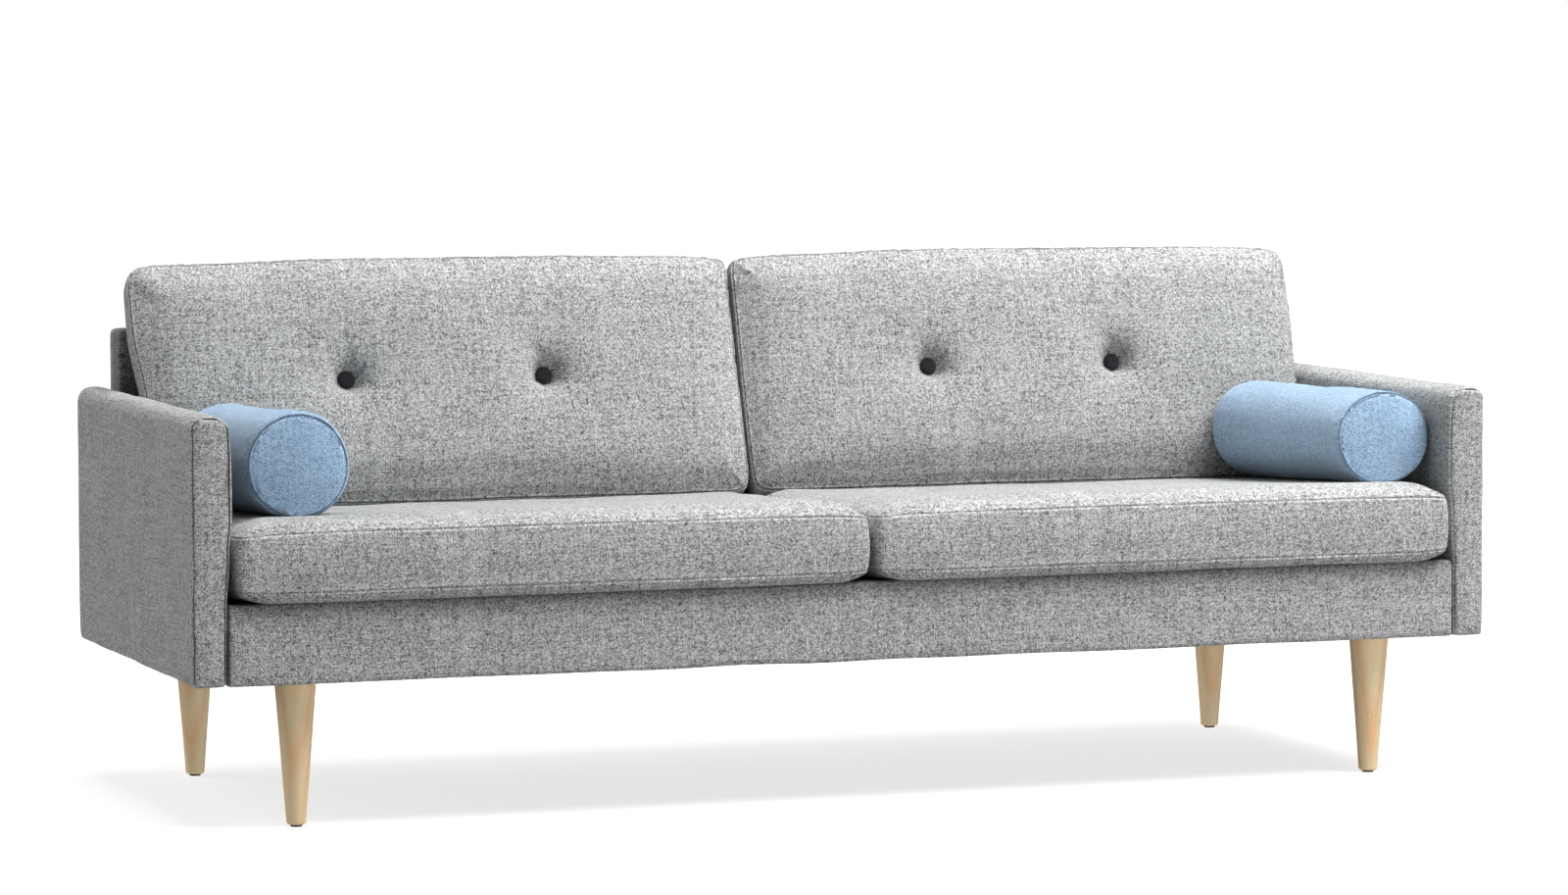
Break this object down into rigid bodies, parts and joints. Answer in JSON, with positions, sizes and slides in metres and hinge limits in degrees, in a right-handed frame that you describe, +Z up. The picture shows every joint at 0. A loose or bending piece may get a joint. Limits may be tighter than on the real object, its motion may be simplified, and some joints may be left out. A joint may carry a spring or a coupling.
{
  "type": "sofa",
  "caption": "Slab-armed sofa on tapered turned wooden legs, with loose box seat cushions, buttoned reclined back cushions and round bolsters.",
  "frame": {"origin": "on the floor, under the middle of the bounding box", "axes": "+X to the right seen from the front, +Y towards the back rest, +Z up; the sofa faces -Y"},
  "size_m": [2.14, 0.77, 0.8277],
  "materials": {
    "grey_cloth": "matte",
    "blue_cloth": "matte",
    "button_cloth": "matte",
    "oak": "satin",
    "frame_timber": "matte",
    "hardboard": "matte",
    "zinc_steel": "satin",
    "glide_nylon": "matte",
    "webbing": "matte",
    "black_lining": "matte",
    "foam": "matte",
    "zip": "satin",
    "twine": "matte"
  },
  "bodies": {
    "frame": {"leg_front_left": "oak", "leg_front_right": "oak", "leg_rear_left": "oak", "leg_rear_right": "oak", "leg_bolts": "zinc_steel", "leg_t_nuts": "zinc_steel", "leg_blocks": "frame_timber", "leg_glides": "glide_nylon", "front_rail": "frame_timber", "rear_rail": "frame_timber", "end_rail_left": "frame_timber", "end_rail_right": "frame_timber", "centre_rail": "frame_timber", "webbing_straps": "webbing", "deck_pad": "black_lining", "front_rail_cover": "grey_cloth", "dust_cover": "black_lining", "underside_staples": "zinc_steel", "arm_frame_left": "frame_timber", "arm_frame_right": "frame_timber", "arm_padding_left": "foam", "arm_padding_right": "foam", "arm_cover_left": "grey_cloth", "arm_cover_right": "grey_cloth", "arm_front_panel_left": "grey_cloth", "arm_front_panel_right": "grey_cloth", "arm_bolts": "zinc_steel", "back_bolts": "zinc_steel", "bolt_washers": "zinc_steel", "insert_nuts": "zinc_steel", "back_top_rail": "frame_timber", "back_posts": "frame_timber", "back_board": "hardboard", "back_padding": "foam", "back_cover": "grey_cloth"},
    "seat_cushion_left": {"seat_cover_left": "grey_cloth", "seat_foam_left": "foam", "seat_zip_left": "zip"},
    "back_cushion_left": {"back_cushion_cover_left": "grey_cloth", "back_cushion_foam_left": "foam", "back_cushion_zip_left": "zip", "back_buttons_left": "button_cloth", "anchor_buttons_left": "button_cloth", "tufting_twine_left": "twine"},
    "bolster_left": {"bolster_barrel_left": "blue_cloth", "bolster_ends_left": "blue_cloth", "bolster_filling_left": "foam"},
    "seat_cushion_right": {"seat_cover_right": "grey_cloth", "seat_foam_right": "foam", "seat_zip_right": "zip"},
    "back_cushion_right": {"back_cushion_cover_right": "grey_cloth", "back_cushion_foam_right": "foam", "back_cushion_zip_right": "zip", "back_buttons_right": "button_cloth", "anchor_buttons_right": "button_cloth", "tufting_twine_right": "twine"},
    "bolster_right": {"bolster_barrel_right": "blue_cloth", "bolster_ends_right": "blue_cloth", "bolster_filling_right": "foam"}
  },
  "joints": [
    {"name": "seat_cushion_left_slide", "type": "slide", "parent": "frame", "child": "seat_cushion_left", "axis": [0, -0.9994, 0.0349], "range_m": [0, 0.72]},
    {"name": "back_cushion_left_lift", "type": "slide", "parent": "frame", "child": "back_cushion_left", "axis": [0, 0.3007, 0.9537], "range_m": [0, 0.42]},
    {"name": "bolster_left_lift", "type": "slide", "parent": "frame", "child": "bolster_left", "axis": [0, 0, 1], "range_m": [0, 0.3]},
    {"name": "seat_cushion_right_slide", "type": "slide", "parent": "frame", "child": "seat_cushion_right", "axis": [0, -0.9994, 0.0349], "range_m": [0, 0.72]},
    {"name": "back_cushion_right_lift", "type": "slide", "parent": "frame", "child": "back_cushion_right", "axis": [0, 0.3007, 0.9537], "range_m": [0, 0.42]},
    {"name": "bolster_right_lift", "type": "slide", "parent": "frame", "child": "bolster_right", "axis": [0, 0, 1], "range_m": [0, 0.3]}
  ]
}
